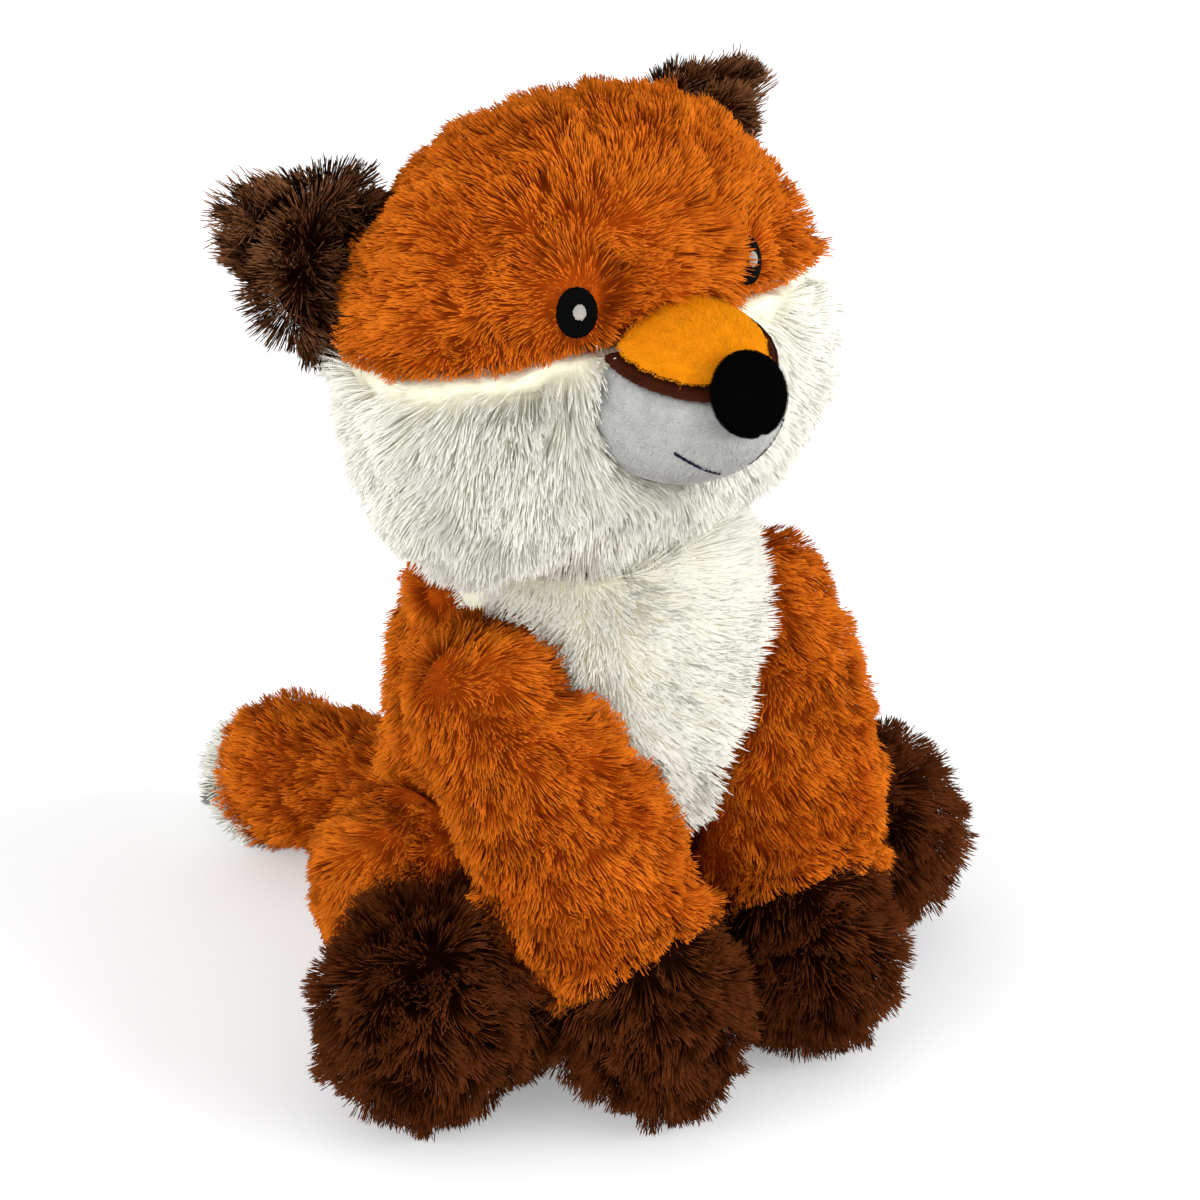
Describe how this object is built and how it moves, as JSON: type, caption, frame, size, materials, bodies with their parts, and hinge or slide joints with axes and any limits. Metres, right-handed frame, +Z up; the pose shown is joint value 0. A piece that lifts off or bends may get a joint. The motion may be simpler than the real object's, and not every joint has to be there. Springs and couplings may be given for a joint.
{
  "type": "plush fox",
  "caption": "Sitting stuffed fox with long pile, a white ruff and bib, brown ears and paws, and limbs, ears, head and tail that flop and spring back.",
  "frame": {"origin": "on the floor, in the middle of the small flat under the body", "axes": "+Z up, the fox faces -Y, its left side is +X"},
  "size_m": [0.2178, 0.2276, 0.2673],
  "materials": {
    "torso": "dense orange pile",
    "chest_bib": "long white pile",
    "neck": "dense orange pile",
    "head_crown": "dense orange pile",
    "cheek_ruff": "long white pile",
    "muzzle_top": "very short golden pile",
    "lip_stripe": "brown satin stitch",
    "muzzle_bottom": "very short pale grey pile",
    "nose": "short black pile",
    "eye_left": "black satin stitch",
    "eye_right": "black satin stitch",
    "eye_glint_left": "white satin stitch",
    "eye_glint_right": "white satin stitch",
    "ear_left": "long brown pile",
    "ear_right": "long brown pile",
    "ear_lining_left": "brown pile",
    "ear_lining_right": "brown pile",
    "front_leg_left": "dense orange pile",
    "front_leg_right": "dense orange pile",
    "front_paw_left": "long brown pile",
    "front_paw_right": "long brown pile",
    "hind_leg_left": "dense orange pile",
    "hind_leg_right": "dense orange pile",
    "hind_paw_left": "long brown pile",
    "hind_paw_right": "long brown pile",
    "tail": "dense orange pile",
    "tail_tip": "long white pile"
  },
  "bodies": {
    "torso": {"torso": "torso", "chest_bib": "chest_bib"},
    "neck": {"neck": "neck"},
    "head": {"head_crown": "head_crown", "cheek_ruff": "cheek_ruff", "muzzle_top": "muzzle_top", "lip_stripe": "lip_stripe", "muzzle_bottom": "muzzle_bottom", "nose": "nose", "eye_left": "eye_left", "eye_right": "eye_right", "eye_glint_left": "eye_glint_left", "eye_glint_right": "eye_glint_right"},
    "ear_left": {"ear_left": "ear_left", "ear_lining_left": "ear_lining_left"},
    "ear_right": {"ear_right": "ear_right", "ear_lining_right": "ear_lining_right"},
    "front_leg_left": {"front_leg_left": "front_leg_left", "front_paw_left": "front_paw_left"},
    "front_leg_right": {"front_leg_right": "front_leg_right", "front_paw_right": "front_paw_right"},
    "hind_leg_left": {"hind_leg_left": "hind_leg_left", "hind_paw_left": "hind_paw_left"},
    "hind_leg_right": {"hind_leg_right": "hind_leg_right", "hind_paw_right": "hind_paw_right"},
    "tail": {"tail": "tail", "tail_tip": "tail_tip"}
  },
  "joints": [
    {"name": "neck_turn", "type": "hinge", "parent": "torso", "child": "neck", "pos_m": [0, -0.008, 0.145], "axis": [0, 0, 1], "range_deg": [-30, 30], "stiffness_Nm_per_rad": 0.4},
    {"name": "head_nod", "type": "hinge", "parent": "neck", "child": "head", "pos_m": [0, -0.008, 0.145], "axis": [1, 0, 0], "range_deg": [-8, 8], "stiffness_Nm_per_rad": 1.2},
    {"name": "ear_left_fold", "type": "hinge", "parent": "head", "child": "ear_left", "pos_m": [0.04958, 0.01181, 0.22104], "axis": [-0.4809, 0.1073, 0.8702], "range_deg": [-20, 20], "stiffness_Nm_per_rad": 0.02},
    {"name": "ear_right_fold", "type": "hinge", "parent": "head", "child": "ear_right", "pos_m": [-0.04958, 0.01181, 0.22104], "axis": [-0.4809, -0.1073, -0.8702], "range_deg": [-20, 20], "stiffness_Nm_per_rad": 0.02},
    {"name": "front_leg_left_swing", "type": "hinge", "parent": "torso", "child": "front_leg_left", "pos_m": [0.04682, -0.03533, 0.112], "axis": [-1, 0, 0], "range_deg": [0, 50], "stiffness_Nm_per_rad": 0.15},
    {"name": "front_leg_right_swing", "type": "hinge", "parent": "torso", "child": "front_leg_right", "pos_m": [-0.04682, -0.03533, 0.112], "axis": [-1, 0, 0], "range_deg": [0, 50], "stiffness_Nm_per_rad": 0.15},
    {"name": "hind_leg_left_spread", "type": "hinge", "parent": "torso", "child": "hind_leg_left", "pos_m": [0.04194, 0.00193, 0.043], "axis": [0, 0, 1], "range_deg": [0, 25], "stiffness_Nm_per_rad": 0.15},
    {"name": "hind_leg_right_spread", "type": "hinge", "parent": "torso", "child": "hind_leg_right", "pos_m": [-0.04194, 0.00193, 0.043], "axis": [0, 0, -1], "range_deg": [0, 25], "stiffness_Nm_per_rad": 0.15},
    {"name": "tail_wag", "type": "hinge", "parent": "torso", "child": "tail", "pos_m": [0, 0.0379, 0.03], "axis": [0, 0, 1], "range_deg": [-20, 20], "stiffness_Nm_per_rad": 0.08}
  ]
}
